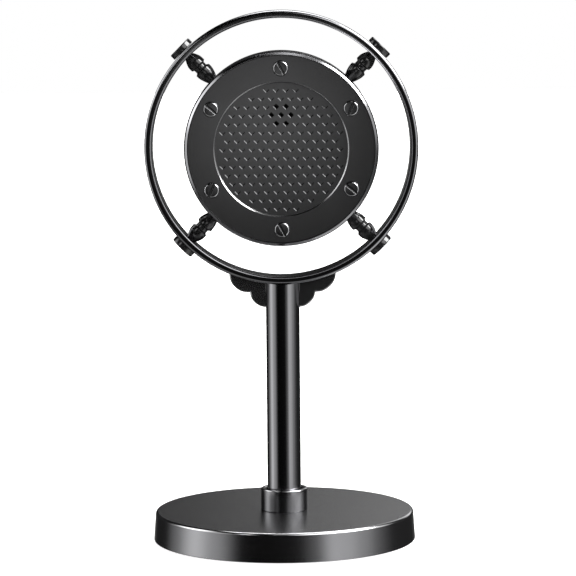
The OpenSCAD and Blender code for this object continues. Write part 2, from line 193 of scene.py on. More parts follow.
def lathe(outline, segments=SEGMENTS):
    """Turned solid about +Z from a closed outline of (radius, height) points."""
    bm = bmesh.new()
    rings = []
    for r, h in outline:
        count = segments if r > TINY else 1
        angles = [2 * math.pi * i / segments for i in range(count)]
        rings.append([bm.verts.new((r * math.cos(a), r * math.sin(a), h)) for a in angles])
    for ring, following in zip(rings, rings[1:] + rings[:1]):
        for i in range(segments):
            j = (i + 1) % segments
            corners = [ring[i % len(ring)], ring[j % len(ring)]]
            corners += [following[j % len(following)], following[i % len(following)]]
            distinct = list(dict.fromkeys(corners))
            if len(distinct) > 2:
                bm.faces.new(distinct)
    bmesh.ops.recalc_face_normals(bm, faces=bm.faces)
    return bm


def prism(points, low, high):
    """Straight solid from low to high over a closed outline of (x, y) points."""
    bm = bmesh.new()
    bottom = [bm.verts.new((x, y, low)) for x, y in points]
    top = [bm.verts.new((x, y, high)) for x, y in points]
    bm.faces.new(bottom)
    bm.faces.new(top)
    for i in range(len(points)):
        j = (i + 1) % len(points)
        bm.faces.new((bottom[i], bottom[j], top[j], top[i]))
    bmesh.ops.recalc_face_normals(bm, faces=bm.faces)
    return bm


def circle_points(radius, count, turn=0.0, centre=(0, 0)):
    """Points round a circle."""
    angles = [math.radians(turn) + 2 * math.pi * i / count for i in range(count)]
    return [(centre[0] + radius * math.cos(a), centre[1] + radius * math.sin(a)) for a in angles]


def moved(bm, matrix):
    """The same mesh after a move."""
    bm.transform(matrix)
    return bm


def joined(parts):
    """One mesh from several."""
    whole = bmesh.new()
    for part in parts:
        mesh = bpy.data.meshes.new("part")
        part.to_mesh(mesh)
        whole.from_mesh(mesh)
        bpy.data.meshes.remove(mesh)
        part.free()
    return whole


def mesh_object(bm, name):
    """Object in the scene from a mesh in millimetres."""
    mesh = bpy.data.meshes.new(name)
    bm.to_mesh(mesh)
    bm.free()
    obj = bpy.data.objects.new(name, mesh)
    bpy.context.collection.objects.link(obj)
    return obj


def combined(bm, tool, operation):
    """The mesh after a boolean with a tool mesh: DIFFERENCE or UNION."""
    target = mesh_object(bm, "boolean_target")
    cutter = mesh_object(tool, "boolean_tool")
    modifier = target.modifiers.new("boolean", "BOOLEAN")
    modifier.operation = operation
    modifier.solver = "EXACT"
    modifier.object = cutter
    evaluated = target.evaluated_get(bpy.context.evaluated_depsgraph_get())
    result = bmesh.new()
    result.from_mesh(evaluated.to_mesh())
    evaluated.to_mesh_clear()
    for obj in (target, cutter):
        mesh = obj.data
        bpy.data.objects.remove(obj)
        bpy.data.meshes.remove(mesh)
    bmesh.ops.remove_doubles(result, verts=result.verts, dist=MERGE)
    return result


def mark(bm, test, index=1):
    """Gives the faces whose centre and normal pass a test another of the piece's materials."""
    bm.normal_update()
    for face in bm.faces:
        if test(face.calc_center_median(), face.normal):
            face.material_index = index


def sloping(part, least=0.15):
    """True where a normal's part along an axis is that of a slope, not of a wall or of a flat face."""
    return least < part < FLAT


def piece(bm, name, node, body, materials, place=UPRIGHT):
    """A finished piece that stands for a CAD node: placed, smoothed, given its materials and body."""
    bm.transform(Matrix.Scale(MM, 4) @ place)
    obj = mesh_object(bm, name)
    mesh = obj.data
    mesh.shade_smooth()
    mesh.set_sharp_from_angle(angle=SHARP_ANGLE)
    obj.modifiers.new("face_weighted_normals", "WEIGHTED_NORMAL").keep_sharp = True
    for material in materials:
        mesh.materials.append(material)
    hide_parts(node)
    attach(obj, body)
    return obj


# ---- materials ----


def new_material(name):
    """Empty node material: returns it with its nodes, links and main shader."""
    material = bpy.data.materials.new(name)
    material.use_nodes = True
    nodes = material.node_tree.nodes
    return material, nodes, material.node_tree.links, nodes["Principled BSDF"]


def noise(nodes, links, scale, detail=3.0, stretch=(1, 1, 1)):
    """Noise in object space, so it stays on the piece as it moves. Scale is per metre."""
    coordinates = nodes.new("ShaderNodeTexCoord")
    mapping = nodes.new("ShaderNodeMapping")
    mapping.inputs["Scale"].default_value = stretch
    texture = nodes.new("ShaderNodeTexNoise")
    texture.inputs["Scale"].default_value = scale
    texture.inputs["Detail"].default_value = detail
    links.new(coordinates.outputs["Object"], mapping.inputs["Vector"])
    links.new(mapping.outputs["Vector"], texture.inputs["Vector"])
    return texture.outputs["Fac"]


def ramp(nodes, links, value, low, high, start=0.35, stop=0.65):
    """Maps a value between start and stop to a number or colour between low and high."""
    mixer = nodes.new("ShaderNodeMapRange")
    mixer.inputs["From Min"].default_value = start
    mixer.inputs["From Max"].default_value = stop
    mixer.inputs["To Min"].default_value = low
    mixer.inputs["To Max"].default_value = high
    links.new(value, mixer.inputs["Value"])
    return mixer.outputs["Result"]


def tint(nodes, links, factor, dark, light):
    """Colour between dark and light."""
    mix = nodes.new("ShaderNodeMix")
    mix.data_type = "RGBA"
    mix.inputs["A"].default_value = (*dark, 1)
    mix.inputs["B"].default_value = (*light, 1)
    links.new(factor, mix.inputs["Factor"])
    return mix.outputs["Result"]


def bump(nodes, links, height, distance, strength=1.0):
    """Bump from a height, with its depth in metres."""
    node = nodes.new("ShaderNodeBump")
    node.inputs["Strength"].default_value = strength
    node.inputs["Distance"].default_value = distance
    links.new(height, node.inputs["Height"])
    return node.outputs["Normal"]


def shades(colour, spread):
    """A darker and a lighter shade of a colour."""
    return [tuple(c * (1 + side * spread) for c in colour) for side in (-1, 1)]


METAL_CLOUDS = 60.0
COAT_CLOUDS = 90.0
# Blender's wave texture takes the sine of 20 times the scaled place
WAVE_RATE = 20


def metal(name, colour, roughness, grain=4000.0, grain_depth=2e-6, spread=0.12, stretch=(1, 1, 1)):
    """Metal with a slightly uneven tone, uneven polish and fine grain."""
    material, nodes, links, shader = new_material(name)
    shader.inputs["Metallic"].default_value = 1.0
    cloud = noise(nodes, links, METAL_CLOUDS)
    fine = noise(nodes, links, grain, stretch=stretch)
    dark, light = shades(colour, spread)
    links.new(tint(nodes, links, cloud, dark, light), shader.inputs["Base Color"])
    links.new(ramp(nodes, links, fine, roughness[0], roughness[1]), shader.inputs["Roughness"])
    links.new(bump(nodes, links, fine, grain_depth), shader.inputs["Normal"])
    return material


def coated(name, colour, roughness, grain=3000.0, grain_depth=1e-5, spread=0.1, specular=0.5):
    """Paint, plastic or rubber: a slightly uneven tone over a fine texture."""
    material, nodes, links, shader = new_material(name)
    shader.inputs["Specular IOR Level"].default_value = specular
    cloud = noise(nodes, links, COAT_CLOUDS)
    fine = noise(nodes, links, grain)
    dark, light = shades(colour, spread)
    links.new(tint(nodes, links, cloud, dark, light), shader.inputs["Base Color"])
    links.new(ramp(nodes, links, fine, roughness[0], roughness[1]), shader.inputs["Roughness"])
    links.new(bump(nodes, links, fine, grain_depth), shader.inputs["Normal"])
    return material


def woven(name, colour, pitch):
    """Plain weave cloth, from two crossed waves. Pitch is the threads' spacing in metres."""
    spread = 0.5
    relief = 5e-5
    roughness = 0.95
    material, nodes, links, shader = new_material(name)
    coordinates = nodes.new("ShaderNodeTexCoord")
    heights = []
    for direction in ("X", "Z"):
        wave = nodes.new("ShaderNodeTexWave")
        wave.bands_direction = direction
        wave.inputs["Scale"].default_value = 1 / (pitch * WAVE_RATE / math.pi)
        links.new(coordinates.outputs["Object"], wave.inputs["Vector"])
        heights.append(wave.outputs["Fac"])
    cross = nodes.new("ShaderNodeMath")
    cross.operation = "MULTIPLY"
    links.new(heights[0], cross.inputs[0])
    links.new(heights[1], cross.inputs[1])
    dark, light = shades(colour, spread)
    links.new(tint(nodes, links, cross.outputs["Value"], dark, light), shader.inputs["Base Color"])
    links.new(bump(nodes, links, cross.outputs["Value"], relief), shader.inputs["Normal"])
    shader.inputs["Roughness"].default_value = roughness
    return material


BLACK_CHROME = metal("black_chrome", (0.30, 0.30, 0.31), (0.12, 0.16), grain_depth=5e-7, spread=0.05)
POST_BLACK = coated("post_black", (0.008, 0.008, 0.0082), (0.02, 0.05), grain_depth=2e-7, specular=0.6)
SATIN_BLACK = metal("satin_black", (0.20, 0.20, 0.205), (0.24, 0.30))
GUNMETAL = metal("satin_gunmetal", (0.30, 0.30, 0.31), (0.18, 0.22), spread=0.06)
# Brighter metal for rounded edges: a painted highlight, not a finish of its own
PAINTED_HIGHLIGHT_METAL = metal("edge_painted_highlight", (0.55, 0.55, 0.56), (0.12, 0.16), grain_depth=5e-7)
# Copy of the base's gunmetal with a rougher finish and a darker colour; the darker colour is painted shade
# that offsets the light the top catches from above
GUNMETAL_TOP_DARKENED = metal("satin_gunmetal_top_painted_shade", (0.12, 0.12, 0.123), (0.25, 0.29), spread=0.06)
PLATE_METAL = metal("satin_charcoal", (0.12, 0.12, 0.122), (0.29, 0.34), grain=9000.0)
GRILLE_METAL = metal("grille_charcoal", (0.12, 0.12, 0.122), (0.29, 0.34), grain=9000.0)
# Near-black metal for the sides of the grille's pits: painted shade in the recesses
PAINTED_SHADE_PIT_SIDE = metal("pit_side_painted_shade", (0.027, 0.027, 0.0275), (0.20, 0.26), grain_depth=1e-6)
# Brighter metal for bevels and chamfers: a painted highlight line
PAINTED_HIGHLIGHT_BEVEL = metal("bevel_painted_highlight", (0.34, 0.34, 0.345), (0.16, 0.22), grain_depth=1e-6)
SCREW_BLACK = metal("screw_black", (0.10, 0.10, 0.102), (0.27, 0.33), grain_depth=1e-6)
# Brighter metal for the screws' rounded edges and one slot wall: a painted highlight
SCREW_PAINTED_HIGHLIGHT = metal("screw_painted_highlight", (0.55, 0.55, 0.56), (0.10, 0.15), grain_depth=1e-6)
COVER_BLACK = coated("cover_black", (0.02, 0.02, 0.021), (0.45, 0.6))
STEEL = metal("plain_steel", (0.55, 0.55, 0.57), (0.28, 0.42), stretch=(1, 1, 12))
ZINC = metal("zinc_plate", (0.45, 0.45, 0.47), (0.25, 0.4))
NICKEL = metal("nickel_plate", (0.62, 0.61, 0.60), (0.15, 0.25))
ALUMINIUM = metal("drawn_aluminium", (0.75, 0.75, 0.76), (0.25, 0.35), stretch=(1, 12, 1))
BRASS = metal("lead_brass", (0.80, 0.62, 0.30), (0.2, 0.3))
RUBBER = coated("black_rubber", (0.018, 0.018, 0.018), (0.75, 0.9), grain_depth=4e-5, specular=0.3)
BUSH_PLASTIC = coated("bush_plastic", (0.80, 0.78, 0.72), (0.4, 0.5))
BOARD = coated("solder_mask", (0.02, 0.12, 0.05), (0.25, 0.35))
CHIP = coated("chip_plastic", (0.02, 0.02, 0.02), (0.5, 0.65))
CLOTH = woven("acoustic_cloth", (0.005, 0.005, 0.005), 0.00025)

CAD_LOOKS = {
    "base_ballast": STEEL, "base_cover": COVER_BLACK, "cover_screws": ZINC, "foot_pad": RUBBER,
    "swivel_bush": BUSH_PLASTIC, "swivel_washer": ZINC, "swivel_nut": ZINC, "stem_foot": STEEL,
    "ring_screw": ZINC, "post_nuts": ZINC, "capsule": ALUMINIUM,
    "capsule_boot": RUBBER, "capsule_leads": BRASS, "circuit_board": BOARD, "codec_chip": CHIP,
    "usb_socket": NICKEL, "board_screws": ZINC,
}


def dress_cad_nodes():
    """Gives every CAD node that stays in the picture its material."""
    for node, material in CAD_LOOKS.items():
        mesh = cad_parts[node].data
        mesh.materials.clear()
        mesh.materials.append(material)


# ---- base ----


def base_shell():
    """Cast shell, open below, with the swivel's hub and three screw bosses."""
    wall = 2.5
    roof = 2.4
    rim_round = 1.0
    hub_r = 10
    bore_r = 5.52
    seat_r = COLLAR_FOOT_R + FILM
    seat_z = collar_low.z
    hub_bottom = box_mm("swivel_bush")[0].z
    cavity_r = BASE_R - wall
    cavity_top = BASE_TOP - roof
    bm = lathe(rounded([
        (bore_r, hub_bottom), (hub_r, hub_bottom, 0.3), (hub_r, cavity_top, 0.6),
        (cavity_r, cavity_top, 0.8), (cavity_r, SKIRT_Z, 0.2), (BASE_R, SKIRT_Z, 0.3),
        (BASE_R - BASE_DRAFT, BASE_TOP, rim_round), (seat_r, BASE_TOP, 0.15),
        (seat_r, seat_z), (bore_r, seat_z)]))
    boss_r = 3.5
    boss_bore_r = 1.3
    boss_ring = 27
    boss_top = cavity_top + 0.4
    boss_bottom = box_mm("base_ballast")[0].z
    for angle in COVER_SCREW_ANGLES:
        boss = lathe(rounded([
            (boss_bore_r, boss_bottom), (boss_r, boss_bottom, 0.2), (boss_r, boss_top),
            (boss_bore_r, boss_top)]), SMALL_SEGMENTS)
        across = Matrix.Rotation(math.radians(angle), 4, "Z") @ Matrix.Translation((boss_ring, 0, 0))
        bm = combined(bm, moved(boss, across), "UNION")
    top, rim = 1, 2
    near = 0.01
    # The base's flat top takes the darker copy: painted shade on the top, over a real rougher finish
    mark(bm, lambda centre, normal: centre.z > BASE_TOP - near and normal.z > 1 - near, top)
    # The base's rounded top edge takes the brighter metal: a painted highlight
    mark(bm, lambda centre, normal: centre.z > BASE_TOP - rim_round and sloping(normal.z), rim)
    piece(bm, "base_casting", "base_shell", BASE,
          [GUNMETAL, GUNMETAL_TOP_DARKENED, PAINTED_HIGHLIGHT_METAL])


def stem_collar():
    """Turned collar whose rounded edges take a brighter metal, a painted highlight. Its foot stands in the
    base.
    """
    bore_r = 7.0
    bm = lathe(rounded([
        (bore_r, collar_low.z), (COLLAR_FOOT_R, collar_low.z), (COLLAR_FOOT_R, BASE_TOP),
        (COLLAR_R, BASE_TOP, 0.3), (COLLAR_R, collar_high.z, 0.45), (bore_r, collar_high.z, 0.5)]))
    # The collar's rounded edges take the brighter metal: a painted highlight
    mark(bm, lambda centre, normal: centre.z > BASE_TOP and sloping(abs(normal.z)))
    piece(bm, "collar", "stem_collar", BASE, [BLACK_CHROME, PAINTED_HIGHLIGHT_METAL])


# ---- stem and hoop ----


def saddle():
    """Cutting tool that shapes the top of the stem and of the bracket to the hoop."""
    reach = STEM_R + CLEAR
    return moved(prism(circle_points(SADDLE_R, SEGMENTS * 2), -reach, reach), ON_HEAD)


def stem_tube():
    """Tube with a slot for the bracket's wings, shaped to the hoop at the top."""
    slot_half = BRACKET_HALF + FILM
    slot_bottom = HEAD_Z - 60.3
    inner_r = STEM_R - STEM_WALL
    top = stem_high.z + 2
    bm = lathe(rounded([
        (inner_r, stem_low.z), (STEM_R, stem_low.z, 0.25), (STEM_R, top), (inner_r, top)]), MEDIUM_SEGMENTS)
    side = STEM_R + CLEAR
    slot = prism([(-side, -slot_half), (side, -slot_half), (side, slot_half), (-side, slot_half)],
                 slot_bottom, HEAD_Z)
    bm = combined(bm, slot, "DIFFERENCE")
    bm = combined(bm, saddle(), "DIFFERENCE")
    piece(bm, "stem", "stem_tube", UPPER, [BLACK_CHROME])


def meeting_point(c1, r1, c2, r2, side):
    """The point where two circles cross, on the left (1) or right (-1) of the line from c1 to c2."""
    c1, c2 = Vector(c1), Vector(c2)
    gap = (c2 - c1).length
    along = (r1 ** 2 - r2 ** 2 + gap ** 2) / (2 * gap)
    direction = (c2 - c1) / gap
    across = Vector((-direction.y, direction.x)) * math.sqrt(r1 ** 2 - along ** 2)
    return c1 + direction * along + across * side


def arc_between(centre, start, end, steps, clockwise=True):
    """Points along a circle from start to end."""
    centre = Vector(centre)
    a0 = math.atan2(start.y - centre.y, start.x - centre.x)
    a1 = math.atan2(end.y - centre.y, end.x - centre.x)
    if clockwise and a1 > a0:
        a1 -= 2 * math.pi
    if not clockwise and a1 < a0:
        a1 += 2 * math.pi
    radius = (start - centre).length
    angles = [a0 + (a1 - a0) * i / steps for i in range(steps + 1)]
    return [centre + radius * Vector((math.cos(a), math.sin(a))) for a in angles]


def ring_bracket():
    """Two scalloped wings with bevelled edges on a core inside the stem, and a bead down each side."""
    chamfer = 0.5
    # Circles of the two scallops at +X: centre, from the middle of the head, and radius
    outer_c, outer_r = (12.8, -47.3), 7.35
    inner_c, inner_r = (6.1, -54.0), 6.28
    tip = meeting_point((0, 0), SADDLE_R, outer_c, outer_r, 1)
    cusp = meeting_point(outer_c, outer_r, inner_c, inner_r, 1)
    low = Vector((inner_c[0], inner_c[1] - inner_r))
    wing = arc_between(outer_c, tip, cusp, steps=20) + arc_between(inner_c, cusp, low, steps=16)[1:]
    mirror_wing = [Vector((-p.x, p.y)) for p in reversed(wing)]
    top = arc_between((0, 0), Vector((-tip.x, tip.y)), tip, steps=48, clockwise=False)[1:-1]
    outline = [(p.x, p.y) for p in wing + mirror_wing + top]
    bm = prism(outline, -BRACKET_HALF, BRACKET_HALF)
    scallops = [edge for edge in bm.edges if is_wing_edge(edge)]
    bmesh.ops.bevel(bm, geom=scallops, offset=chamfer, segments=1, affect="EDGES")
    bm.transform(ON_HEAD)
    core_low = box_mm("ring_bracket")[0].z
    core_top = HEAD_Z - 50
    core_r = STEM_R - STEM_WALL - FILM
    core = lathe([(0, core_low), (core_r, core_low), (core_r, core_top), (0, core_top)], SMALL_SEGMENTS)
    bm = combined(bm, core, "UNION")
    bm = combined(bm, saddle(), "DIFFERENCE")
    bead_r = 0.25
    bead_low = core_low + 12
    bead_top = HEAD_Z - HOOP_R
    sunk = 0.2
    # The wings' chamfers take the brighter metal: a painted highlight outline
    mark(bm, lambda centre, normal: abs(centre.x) > STEM_R + sunk and sloping(abs(normal.y), 0.2))
    beads = []
    for side in (-1, 1):
        outline = [(0, bead_low), (bead_r, bead_low), (bead_r, bead_top), (0, bead_top)]
        place = Matrix.Translation((side * (STEM_R - sunk), -BRACKET_HALF, 0))
        beads.append(moved(lathe(outline, BEAD_SEGMENTS), place))
    piece(joined([bm] + beads), "bracket", "ring_bracket", UPPER,
          [SATIN_BLACK, PAINTED_HIGHLIGHT_BEVEL])


def is_wing_edge(edge):
    """True for an edge of the scalloped side, on the front or back face."""
    near = 0.05
    ends = [v.co for v in edge.verts]
    flat = abs(ends[0].z - ends[1].z) < TINY
    away = any(math.hypot(p.x, p.y) > SADDLE_R + near for p in ends)
    return flat and away


def suspension_ring():
    """The hoop, with a wide bevel outside and a narrower one inside."""
    outer_edge = 1.2
    inner_edge = 0.75
    outline = rounded([
        (HOOP_INNER_R, -HOOP_HALF, inner_edge), (HOOP_R, -HOOP_HALF, outer_edge),
        (HOOP_R, HOOP_HALF, outer_edge), (HOOP_INNER_R, HOOP_HALF, inner_edge)], steps=10)
    bm = lathe(outline, FINE_SEGMENTS)
    piece(bm, "hoop", "suspension_ring", UPPER, [BLACK_CHROME], ON_HEAD)


# ---- posts ----


def posts():
    """Turned posts: two bullets, base to base, with a neck between them."""
    length = HOOP_INNER_R - HEAD_R
    tip = (1.93, 0.06)
    belly = (3.24, 3.7)
    neck_r = 2.42
    shoulder = (3.32, 7.65)
    root = (2.12, length - FILM)
    neck = rounded([
        (0, 0), belly, (belly[0], 4.75, 0.25), (neck_r, 5.3, 0.3), (neck_r, 6.6, 0.3),
        (shoulder[0], 7.2, 0.25), shoulder], steps=5)[2:-1]
    outline = [(0, tip[1])] + bullet(tip, belly) + [tuple(p) for p in neck]
    outline += list(reversed(bullet(root, shoulder))) + [(0, root[1])]
    inward = Matrix.Translation((0, 0, HOOP_INNER_R)) @ Matrix.Rotation(math.pi, 4, "X")
    for node, angle in POST_ANGLES.items():
        bm = moved(lathe(outline, SMALL_SEGMENTS), inward)
        piece(bm, node.replace("post", "turned_post"), node, UPPER, [POST_BLACK],
              on_radius(angle))


def cap_screws():
    """Four screws with low round heads and hexagon sockets, from outside the hoop into the posts."""
    low, high = box_mm("cap_screws")
    cap_r = (high.y - low.y) / 2
    seat = HOOP_R + FILM
    top = seat + 2.2
    recess_flats = 3
    recess_r = recess_flats / 2 / math.cos(math.radians(30))
    recess_floor = top - 1.2
    end = HOOP_INNER_R - POST_SCREW_REACH
    screws = []
    for angle in POST_ANGLES.values():
        head = lathe(rounded([(0, seat), (cap_r, seat, 0.25), (cap_r, top, 0.45), (0, top)], steps=5))
        recess = prism(circle_points(recess_r, 6), recess_floor, top + CLEAR)
        head = combined(head, recess, "DIFFERENCE")
        shank = lathe([(0, end), (POST_SCREW_R, end), (POST_SCREW_R, seat), (0, seat)], SMALL_SEGMENTS)
        screws.append(moved(joined([head, shank]), on_radius(angle)))
    piece(joined(screws), "cap_screw_set", "cap_screws", UPPER, [POST_BLACK])


# ---- head ----


def head_shell():
    """Turned casing with a bevelled lip, pillars for the screws and a mouth for the socket."""
    bore_r = HEAD_R - SHELL_SIDE_T
    floor = -HEAD_BACK + SHELL_BACK_T
    back_round = 3.0
    lip_height = 2.2
    lip_slope = 0.75
    lip_side = 0.45
    bm = lathe(rounded([
        (0, -HEAD_BACK), (HEAD_R, -HEAD_BACK, back_round), (HEAD_R, LIP_FRONT - lip_height, 0.3),
        (HEAD_R - lip_side, LIP_FRONT - lip_slope, 0.15),
        (HEAD_R - lip_side - lip_slope, LIP_FRONT, 0.1),
        (bore_r, LIP_FRONT), (bore_r, floor, 1.7), (0, floor)],
        steps=8), FINE_SEGMENTS)
    board_back = -box_mm("circuit_board")[1].y
    board_screw_ring = 22
    root = floor - 0.5
    pillars = [(3.0, FACE_SCREW_RING, angle, PLATE_BACK) for angle in FACE_SCREWS]
    pillars += [(2.5, board_screw_ring, angle, board_back) for angle in BOARD_SCREW_ANGLES]
    for radius, ring, angle, top in pillars:
        outline = circle_points(radius, PILLAR_SIDES, centre=on_ring(ring, angle))
        bm = combined(bm, prism(outline, root, top), "UNION")
    socket_low, socket_high = box_mm("usb_socket")
    play = 0.5
    middle = (socket_low.z + socket_high.z) / 2 - HEAD_Z
    mouth = mouth_outline(socket_high.x - socket_low.x + play, socket_high.z - socket_low.z + play)
    mouth = [(x, y + middle) for x, y in mouth]
    bm = combined(bm, prism(mouth, -HEAD_BACK - CLEAR, floor + CLEAR), "DIFFERENCE")
    piece(bm, "casing", "head_shell", UPPER, [BLACK_CHROME], ON_HEAD)


def on_ring(radius, angle):
    """The point at an angle on a circle round the head's axis."""
    return circle_points(radius, 1, angle)[0]


def mouth_outline(width, height, steps=16):
    """Outline with round ends, centred."""
    radius = height / 2
    reach = width / 2 - radius
    right = [(reach + radius * math.sin(math.pi * i / steps), -radius * math.cos(math.pi * i / steps))
             for i in range(steps + 1)]
    return right + [(-x, -y) for x, y in right]


def face_plate():
    """Flat ring with a bevelled opening over the grille and counterbores for six screws."""
    bevel = 0.5
    rebate_r = GRILLE_R + 0.1
    bm = lathe(rounded([
        (OPENING_R, GRILLE_FRONT), (OPENING_R, FACE_FRONT - bevel, 0.15),
        (OPENING_R + bevel, FACE_FRONT, 0.15), (PLATE_R, FACE_FRONT, 0.1), (PLATE_R, PLATE_BACK),
        (rebate_r, PLATE_BACK), (rebate_r, GRILLE_FRONT)], steps=4), FINE_SEGMENTS)
    hole_r = 1.6
    counterbore_r = 2.9
    flare = 0.12
    below = PLATE_BACK - CLEAR
    seat = FACE_FRONT - SCREW_SEAT_DEPTH
    for angle in FACE_SCREWS:
        across = Matrix.Translation((*on_ring(FACE_SCREW_RING, angle), 0))
        counterbore = lathe([
            (0, below), (hole_r, below), (hole_r, seat), (counterbore_r, seat),
            (counterbore_r, FACE_FRONT - flare), (counterbore_r + 2 * flare, FACE_FRONT + flare),
            (0, FACE_FRONT + flare)], PILLAR_SIDES)
        bm = combined(bm, moved(counterbore, across), "DIFFERENCE")
    edge_r = OPENING_R + bevel
    # The bevel round the opening takes the brighter metal: a painted highlight
    mark(bm, lambda centre, normal: math.hypot(centre.x, centre.y) < edge_r and normal.z > 0.2)
    piece(bm, "front_plate", "face_plate", UPPER, [PLATE_METAL, PAINTED_HIGHLIGHT_BEVEL], ON_HEAD)


def face_screws():
    """Six low-headed screws, each with a V-shaped slot at its own angle."""
    head_r = 2.75
    head_round = 0.55
    shank_r = 1.25
    shank_end = 3
    slot_floor_half = 0.15
    slot_top_half = 0.5 + CLEAR
    slot_depth = 0.4
    slot_top = slot_depth + CLEAR
    seat = FACE_FRONT - SCREW_SEAT_DEPTH
    top = FACE_FRONT + 0.3
    highlight_r = head_r - 0.6
    reach = head_r + CLEAR
    into_slot = (Matrix.Translation((0, 0, top - slot_depth))
                 @ Matrix.Rotation(QUARTER, 4, "X") @ Matrix.Rotation(QUARTER, 4, "Y"))
    screws = []
    for angle, slot_angle in FACE_SCREWS.items():
        head = lathe(rounded([(0, seat), (head_r, seat, 0.1), (head_r, top, head_round), (0, top)]),
                     HEAD_SEGMENTS)
        slot = prism([(-slot_floor_half, 0), (slot_floor_half, 0), (slot_top_half, slot_top),
                      (-slot_top_half, slot_top)], -reach, reach)
        head = combined(head, moved(slot, into_slot), "DIFFERENCE")
        # Rounded edges, and slot walls facing +X, take the brighter metal: painted highlight crescents and
        # a light line along the slot
        mark(head, lambda centre, normal: sloping(normal.z, 0.1)
             and (math.hypot(centre.x, centre.y) > highlight_r or normal.x > 0.3))
        shank = lathe([(0, shank_end), (shank_r, shank_end), (shank_r, seat), (0, seat)], SHANK_SEGMENTS)
        turn = Matrix.Rotation(math.radians(slot_angle), 4, "Z")
        across = Matrix.Translation((*on_ring(FACE_SCREW_RING, angle), 0))
        screws.append(moved(joined([head, shank]), across @ turn))
    piece(joined(screws), "slotted_screws", "face_screws", UPPER,
          [SCREW_BLACK, SCREW_PAINTED_HIGHLIGHT], ON_HEAD)


def pit_places():
    """Centres of the grille's pits, and of its through holes: one hole and the six next to it."""
    pits, holes = [], []
    cluster = Vector((0, CLUSTER_ROW * ROW_PITCH))
    cluster_r = PIT_PITCH * 1.1
    for row in range(-PIT_ROWS, PIT_ROWS + 1):
        for column in range(-PIT_ROWS, PIT_ROWS + 1):
            place = Vector(((column + 0.5 * (row % 2)) * PIT_PITCH, row * ROW_PITCH))
            if place.length <= PIT_FIELD_R:
                in_cluster = (place - cluster).length < cluster_r
                (holes if in_cluster else pits).append(place)
    return pits, holes


def pit_floor():
    """Corners of a pit's floor, which its wide lower left side pushes up and to the right."""
    inradius = PIT_HALF / math.sqrt(2)
    right_up, left_up, left_low, right_low = [inradius - width for width in PIT_SIDES]
    corners = [
        (right_up, -right_low), (right_up, left_up), (-left_low, left_up), (-left_low, -right_low)]
    return [((u - v) / math.sqrt(2), (u + v) / math.sqrt(2)) for u, v in corners]


def holed_disc(rim, mouths):
    """Points of a flat disc round mouths, its faces, and the numbers of each mouth's points."""
    flat = list(rim)
    loops = [list(range(len(rim)))]
    for mouth in mouths:
        loops.append(list(range(len(flat), len(flat) + len(mouth))))
        flat += mouth
    edges = [(loop[i], loop[(i + 1) % len(loop)]) for loop in loops for i in range(len(loop))]
    inside_outline = 1
    points, _, faces, _, _, _ = delaunay_2d_cdt(flat, edges, [], inside_outline, 1e-5)
    mouth_of = {i: n for n, loop in enumerate(loops[1:]) for i in loop}
    solid = []
    for face in faces:
        owners = {mouth_of.get(i) for i in face}
        if len(owners) > 1 or None in owners:
            solid.append(face)
    return points, solid, loops[1:]


def grille_plate():
    """Disc of diamond pits with sloping sides and flat floors. Seven go right through."""
    pits, holes = pit_places()
    floor_z = GRILLE_FRONT - PIT_DEPTH
    rim = [Vector(p) for p in circle_points(GRILLE_R, MEDIUM_SEGMENTS)]
    mouths = [[place + Vector(p) for p in circle_points(PIT_HALF, 4)] for place in pits + holes]
    points, faces, loops = holed_disc(rim, mouths)
    bm = bmesh.new()
    front = [bm.verts.new((p.x, p.y, GRILLE_FRONT)) for p in points]
    for face in faces:
        bm.faces.new([front[i] for i in face])
    for n, place in enumerate(pits + holes):
        mouth = [front[i] for i in loops[n]]
        below = [bm.verts.new((place.x + x, place.y + y, floor_z)) for x, y in pit_floor()]
        bridge(bm, mouth, below)
        if n < len(pits):
            bm.faces.new(below)
        else:
            deep = [bm.verts.new((v.co.x, v.co.y, GRILLE_BACK)) for v in below]
            bridge(bm, below, deep)
    bmesh.ops.recalc_face_normals(bm, faces=bm.faces)
    close_back(bm, rim, holes)
    # The pits' sloping sides take the near-black metal: painted shade in the pits
    mark(bm, lambda centre, normal: abs(normal.z) < FLAT)
    piece(bm, "grille", "grille_plate", UPPER, [GRILLE_METAL, PAINTED_SHADE_PIT_SIDE], ON_HEAD)


def bridge(bm, upper, lower):
    """Band of faces between two loops of the same length."""
    for i in range(len(upper)):
        j = (i + 1) % len(upper)
        bm.faces.new((upper[i], upper[j], lower[j], lower[i]))


def close_back(bm, rim, holes):
    """Side wall and back face of the grille, with the through holes left open."""
    mouths = [[place + Vector(p) for p in pit_floor()] for place in holes]
    points, faces, _ = holed_disc(rim, mouths)
    back = [bm.verts.new((p.x, p.y, GRILLE_BACK)) for p in points]
    for face in faces:
        bm.faces.new([back[i] for i in reversed(face)])
    for a, b in zip(rim, rim[1:] + rim[:1]):
        corners = [(*a, GRILLE_FRONT), (*a, GRILLE_BACK), (*b, GRILLE_BACK), (*b, GRILLE_FRONT)]
        bm.faces.new([bm.verts.new(corner) for corner in corners])
    bmesh.ops.remove_doubles(bm, verts=bm.verts, dist=MERGE)
    bmesh.ops.recalc_face_normals(bm, faces=bm.faces)


